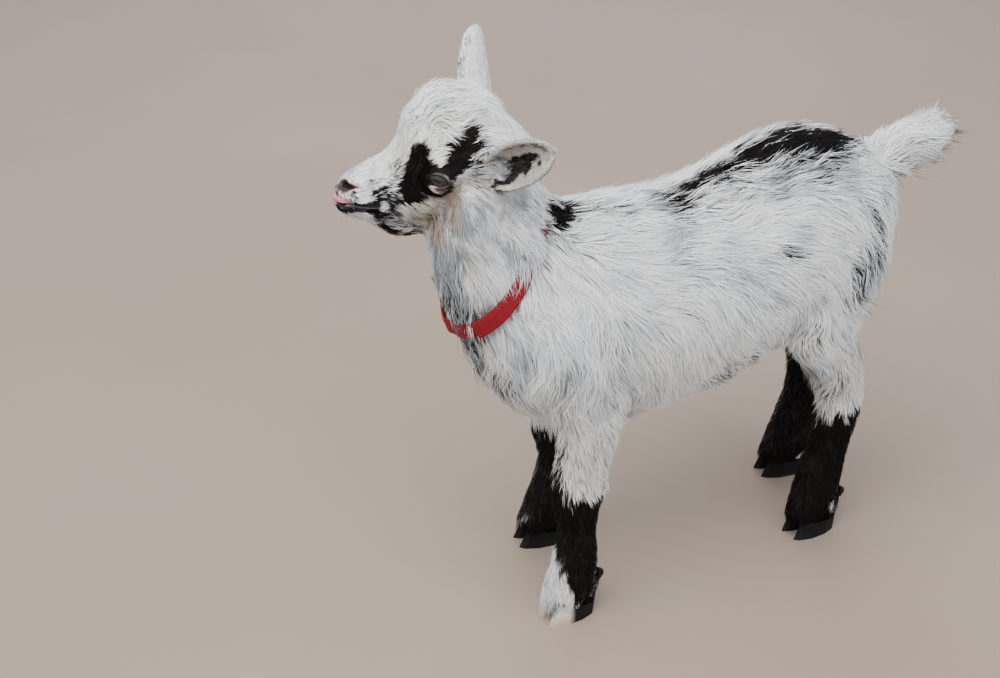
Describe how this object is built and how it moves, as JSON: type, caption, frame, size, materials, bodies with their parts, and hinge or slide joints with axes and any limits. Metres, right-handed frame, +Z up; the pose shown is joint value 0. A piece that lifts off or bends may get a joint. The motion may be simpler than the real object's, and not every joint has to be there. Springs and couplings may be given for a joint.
{
  "type": "goat kid",
  "caption": "Standing pygmy goat kid with its head turned, short upturned tail, cupped ears, fluffy white coat with black patches and a plain red neck band; a still life-size model.",
  "frame": {"origin": "on the floor, under the middle of the bounding box", "axes": "+X the kid's left, -Y the way its body faces, +Y to the tail, +Z up; the four feet stand on z = 0"},
  "size_m": [0.1396, 0.4102, 0.3536],
  "materials": {
    "white_coat": "soft white hair with grey and black markings",
    "black_coat": "soft black hair",
    "dark_horn": "satin dark horn",
    "pale_horn": "satin cream horn",
    "eye": "wet, glossy",
    "tongue": "moist pink",
    "collar": "red woven band"
  },
  "bodies": {
    "root": {"collar": "collar", "dewclaw_front_left_inner": "dark_horn", "dewclaw_front_left_outer": "dark_horn", "dewclaw_front_right_inner": "dark_horn", "dewclaw_front_right_outer": "dark_horn", "dewclaw_hind_left_inner": "dark_horn", "dewclaw_hind_left_outer": "dark_horn", "dewclaw_hind_right_inner": "dark_horn", "dewclaw_hind_right_outer": "dark_horn", "ear_left": "white_coat", "ear_right": "white_coat", "eye_left": "eye", "eye_right": "eye", "head": "white_coat", "hoof_front_left_inner": "pale_horn", "hoof_front_left_outer": "pale_horn", "hoof_front_right_inner": "dark_horn", "hoof_front_right_outer": "dark_horn", "hoof_hind_left_inner": "dark_horn", "hoof_hind_left_outer": "dark_horn", "hoof_hind_right_inner": "dark_horn", "hoof_hind_right_outer": "dark_horn", "leg_front_left": "white_coat", "leg_front_right": "black_coat", "leg_hind_left": "black_coat", "leg_hind_right": "black_coat", "neck": "white_coat", "tail": "white_coat", "tongue": "tongue", "trunk": "white_coat"}
  },
  "joints": []
}
